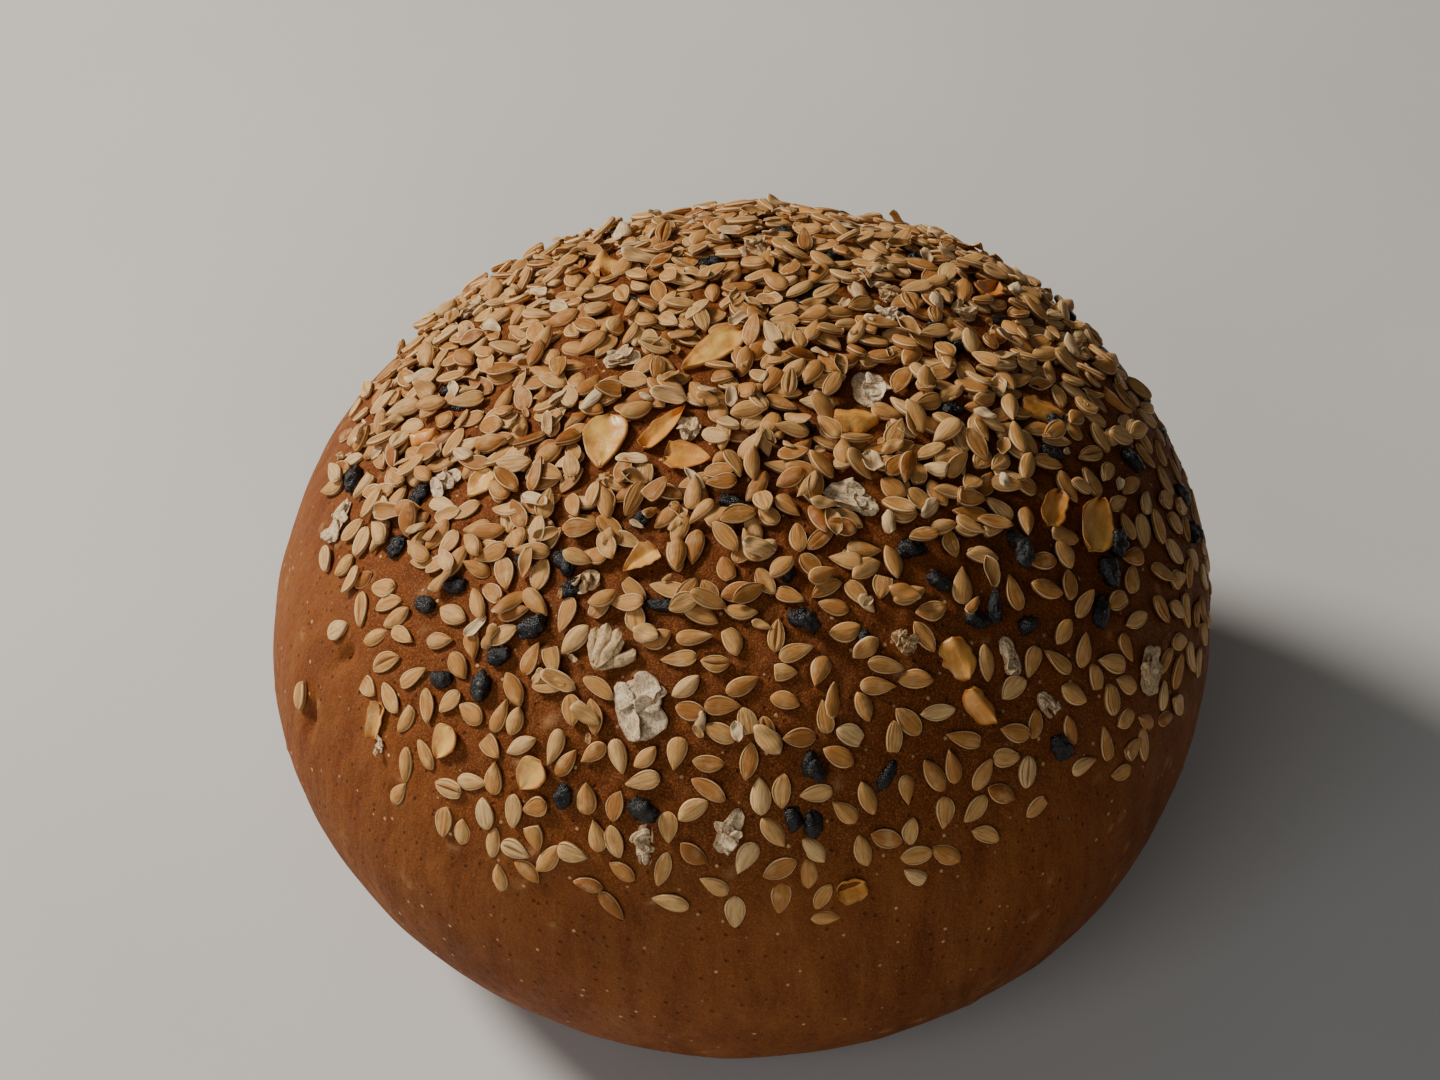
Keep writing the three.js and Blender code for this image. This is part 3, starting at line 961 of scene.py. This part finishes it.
def build_extra_flakes(name, places, shape_of, slot):
    rng = np.random.default_rng(len(places))
    batch = Batch()
    for bearing, fall, spin, length, width in places:
        points, faces, share = shape_of(rng, length, width)
        origin, axes = skin.frame(bearing, fall, spin)
        points[:, 2] -= points[:, 2].min() + 0.1
        place = to_world(points, origin, axes)
        batch.add(points, place, faces, paint_of(rng.uniform(0.2, 1), share))
        heap.add(origin, axes, length / 2, width / 2, 0.3, points[:, 2].max(), True)
    batch.piece(name, MATERIALS[slot], slot)


def zone_of(bearing, fall):
    """Which mesh a seed belongs to, so that each mesh stays small."""
    if fall < CROWN_ZONE:
        return "crown"
    names = ("front", "right", "back", "left")
    return names[int(((bearing + 45) % FULL_TURN) // 90)]


def build_sesame(material):
    rng = np.random.default_rng(3)
    shapes = [sesame_shape(rng) for _ in range(SESAME_SHAPES)]
    batches = {}
    grounded = []

    def lay(bearing, fall, most_lift, most_rise=math.inf, most_spare=0.0):
        points, faces, share, split_shade = shapes[rng.integers(len(shapes))]
        origin, axes = skin.frame(bearing, fall, rng.uniform(0, FULL_TURN))
        size = np.array([rng.uniform(0.85, 1.12), rng.uniform(0.85, 1.12), rng.uniform(0.9, 1.15)])
        half = sizes_of(SESAME) / 2 * size
        room = 1 + most_spare * (1 - crowding(bearing, fall))
        height, rise_x, rise_y, blocked = rest_on(
            heap, origin, axes, half[0] * room, half[1] * room)
        if blocked or height > most_lift or abs(rise_x) + abs(rise_y) > most_rise:
            return
        wobble = rng.normal(0, 0.05 + 0.07 * crowding(bearing, fall), 2)
        propped = 0.6 * (abs(wobble[0]) * half[0] + abs(wobble[1]) * half[1])
        seat = origin + axes[2] * (height + propped + half[2] - SESAME_SINK)
        turned = tilted(axes, rise_x / half[0] + wobble[0], rise_y / half[1] + wobble[1])
        if rng.random() < 0.5:
            turned[1:] *= -1
        place = to_world(points * size, seat, turned)
        tone = np.clip(rng.normal(0.5, 0.24), 0, 1)
        batch = batches.setdefault(zone_of(bearing, fall), Batch())
        batch.add(points, place, faces, paint_of(tone, share, split_shade))
        heap.add(origin, axes, half[0], half[1], height + 0.15, height + 2 * half[2] - SESAME_SINK)
        if height < 0.3:
            grounded.append((origin, axes, half))

    def candidates(count, keep):
        for _ in range(count):
            bearing = rng.uniform(-HALF_TURN, HALF_TURN)
            fall = math.degrees(math.acos(rng.uniform(math.cos(math.radians(80)), 1)))
            covered = fall < cover_edge(bearing) + rng.normal(0, 2)
            if covered and rng.random() < keep(bearing, fall):
                yield bearing, fall

    for bearing, fall in candidates(FLAT_TRIES, lambda b, f: 0.7 + 0.3 * crowding(b, f)):
        lay(bearing, fall, FLAT_LIFT, FLAT_RISE, most_spare=0.2)
    for bearing, fall in candidates(PILED_TRIES, lambda b, f: crowding(b, f) ** 1.5):
        lay(bearing, fall, PILED_LIFT)
    for zone, batch in batches.items():
        batch.piece("sesame_" + zone, material, "sesame")
    return grounded


def build_husks(material):
    """Split hulls lying loose among the piled seeds."""
    rng = np.random.default_rng(8)
    shapes = [husk_shape(rng) for _ in range(HUSK_SHAPES)]
    half_length, half_width = HUSK_HALF
    batch = Batch()
    for _ in range(HUSK_TRIES):
        bearing = rng.uniform(-HALF_TURN, HALF_TURN)
        fall = math.degrees(math.acos(rng.uniform(math.cos(math.radians(60)), 1)))
        if rng.random() > 0.14 + 0.5 * crowding(bearing, fall) ** 2:
            continue
        points, faces, share = shapes[rng.integers(len(shapes))]
        origin, axes = skin.frame(bearing, fall, rng.uniform(0, FULL_TURN))
        height, rise_x, rise_y, blocked = rest_on(heap, origin, axes, half_length, half_width)
        if blocked or height > HUSK_LIFT:
            continue
        turned = tilted(axes, rise_x / half_length + rng.normal(0, 0.15),
                        rise_y / half_width + rng.normal(0, 0.15))
        size = rng.uniform(0.7, 1.25) if rng.random() < 0.6 else rng.uniform(0.25, 0.6)
        if rng.random() < 0.5:
            turned[1:] *= -1
            height += 0.5 * size
        place = to_world(points * size, origin + axes[2] * (height - 0.05), turned)
        batch.add(points, place, faces, paint_of(rng.random(), share))
        heap.add(origin, axes, half_length * size, half_width * size, height, height + 0.4)
    batch.piece("sesame_husks", material, "sesame")


# ---- The crust ----


def build_crust(material, grounded):
    """One closed fine skin over the loaf, with lumps, blisters and a dent under each seed."""
    around = CRUST_AROUND
    falls = np.concatenate([np.linspace(0, 128, 202)[1:], np.linspace(128, 180, 28)[1:-1]])
    bearings = np.arange(around) * FULL_TURN / around
    b, f = np.meshgrid(bearings, falls)
    points = skin.points(b.ravel(), f.ravel())
    poles = skin.points(np.array([0.0, 0.0]), np.array([0.0, 180.0]))
    points = np.vstack([points, poles])
    outward = points - skin.centre
    outward /= np.linalg.norm(outward, axis=1, keepdims=True)
    off_base = smoothstep(0.2, 4, points[:, 2])
    lumps = sum(high * noise_at(points, wide, seed) for high, wide, seed in CRUST_LUMPS)
    blisters = scattered_blisters(points)
    rise = (lumps + BLISTER_HEIGHT * blisters) * off_base
    rise += dents_round(points, grounded) - hollows(points)
    points = points + outward * rise[:, None]
    points[:, 2] = np.maximum(points[:, 2], 0)
    faces = [face.tolist() for face in grid_faces(len(falls), around)]
    last = (len(falls) - 1) * around
    top, bottom = len(points) - 2, len(points) - 1
    faces += [[top, (j + 1) % around, j] for j in range(around)]
    faces += [[bottom, last + j, last + (j + 1) % around] for j in range(around)]
    bearing, fall = bearing_and_fall(points - skin.centre)
    covered = 1 - smoothstep(-8, 4, fall - cover_edge(bearing))
    base = 1 - smoothstep(0.3, 2.5, points[:, 2])
    paint = np.column_stack([covered, blisters, base])
    make_piece("crust_skin", points, [f[::-1] for f in faces], material, ("loaf",), paint)


def scattered_blisters(points):
    """1 at the middle of each small raised blister of the crust, 0 away from them."""
    rng = np.random.default_rng(21)
    bearing = rng.uniform(-HALF_TURN, HALF_TURN, BLISTERS)
    fall = np.degrees(np.arccos(rng.uniform(-0.35, 0.75, BLISTERS)))
    places = skin.points(bearing, fall)
    sizes = rng.uniform(0.3, 0.5, BLISTERS)
    raised = np.zeros(len(points))
    order = np.argsort(points[:, 2])
    heights = points[order, 2]
    for place, size in zip(places, sizes):
        low, high = np.searchsorted(heights, [place[2] - 2, place[2] + 2])
        index = order[low:high]
        away = np.linalg.norm(points[index] - place, axis=1)
        raised[index] = np.maximum(raised[index], np.exp(-(away / size) ** 2))
    return raised


def hollows(points):
    """How deep the crust is hollowed beside the few seeds that have lifted out of it."""
    depth = np.zeros(len(points))
    for bearing, fall, spin in HOLLOW_PLACES:
        origin, axes = skin.frame(bearing, fall, spin)
        local = (points - origin) @ axes.T
        away = ((local[:, 0] / HOLLOW["half_length"]) ** 2
                + (local[:, 1] / HOLLOW["half_width"]) ** 2)
        near = np.abs(local[:, 2]) < 3
        depth += np.where(near, HOLLOW["depth"] * np.exp(-away), 0)
    return depth


def dents_round(points, grounded):
    """How far the crust sinks under each seed that lies on it, and swells beside it."""
    rise = np.zeros(len(points))
    order = np.argsort(points[:, 2])
    heights = points[order, 2]
    for origin, axes, half in grounded:
        low, high = np.searchsorted(heights, [origin[2] - 3, origin[2] + 3])
        index = order[low:high]
        local = (points[index] - origin) @ axes.T
        near = np.abs(local[:, 2]) < 2.5
        away = np.sqrt((local[:, 0] / half[0]) ** 2 + (local[:, 1] / half[1]) ** 2)
        sink = -DENT["depth"] * (1 - smoothstep(DENT["full"], DENT["end"], away))
        swell = SWELL["height"] * gauss(away, SWELL["at"], SWELL["width"])
        rise[index] += np.where(near, sink + swell, 0)
    return np.clip(rise, -MOST_DENT, MOST_DENT)


# ---- Stage, light and camera ----


def aim_at(thing, target):
    thing.rotation_euler = (Vector(target) - thing.location).to_track_quat("-Z", "Y").to_euler()


def add_light(name, middle, place, size, power, colour):
    """A round soft light at a place measured from the middle, which it faces."""
    data = bpy.data.lights.new(name, "AREA")
    data.shape = "DISK"
    data.size = size
    data.energy = power
    data.color = colour
    light = new_object(name, data)
    light.location = middle + Vector(place)
    aim_at(light, middle)


def build_stage():
    mesh = bpy.data.meshes.new("floor")
    corners = [(x * FLOOR_HALF, y * FLOOR_HALF, 0) for x, y in ((-1, -1), (1, -1), (1, 1), (-1, 1))]
    mesh.from_pydata(corners, [], [(0, 1, 2, 3)])
    mesh.materials.append(floor_material())
    floor = new_object("floor", mesh)
    world = bpy.data.worlds.new("soft_room")
    world.use_nodes = True
    background = world.node_tree.nodes["Background"]
    background.inputs["Color"].default_value = ROOM_COLOUR
    background.inputs["Strength"].default_value = ROOM_STRENGTH
    bpy.context.scene.world = world
    middle = Vector(skin.centre * MM)
    add_light("key", middle, **KEY_LIGHT)
    add_light("fill", middle, **FILL_LIGHT)


def build_camera():
    """Looks down at the front of the roll from straight before it."""
    middle = Vector(skin.centre * MM)
    sine, cosine = math.sin(CAMERA_ELEVATION), math.cos(CAMERA_ELEVATION)
    aim = middle + Vector((AIM_SIDE, AIM_UP * sine, AIM_UP * cosine))
    data = bpy.data.cameras.new("camera")
    data.sensor_width = CAMERA_SENSOR
    data.lens = CAMERA_LENS
    data.clip_start = 0.01
    camera = new_object("camera", data)
    camera.location = middle + CAMERA_DISTANCE * Vector((0, -cosine, sine))
    aim_at(camera, aim)
    bpy.context.scene.camera = camera


MATERIALS = {
    "sesame": sesame_material(),
    "black_seed": black_seed_material(),
    "garlic": garlic_material(),
    "onion": onion_material(),
}
build_stage()
build_camera()
build_cad_toppings()
keep_hollows_clear()
build_extra_flakes("garlic_scattered", GARLIC_PLACES, garlic_shape, "garlic")
build_extra_flakes("onion_scattered", ONION_PLACES, onion_shape, "onion")
build_extra_flakes("onion_fan", ONION_FAN_PLACES, onion_fan_shape, "onion")
build_extra_black_seeds(MATERIALS["black_seed"])
grounded_seeds = build_sesame(MATERIALS["sesame"])
build_husks(husk_material())
build_crust(crust_material(), grounded_seeds)
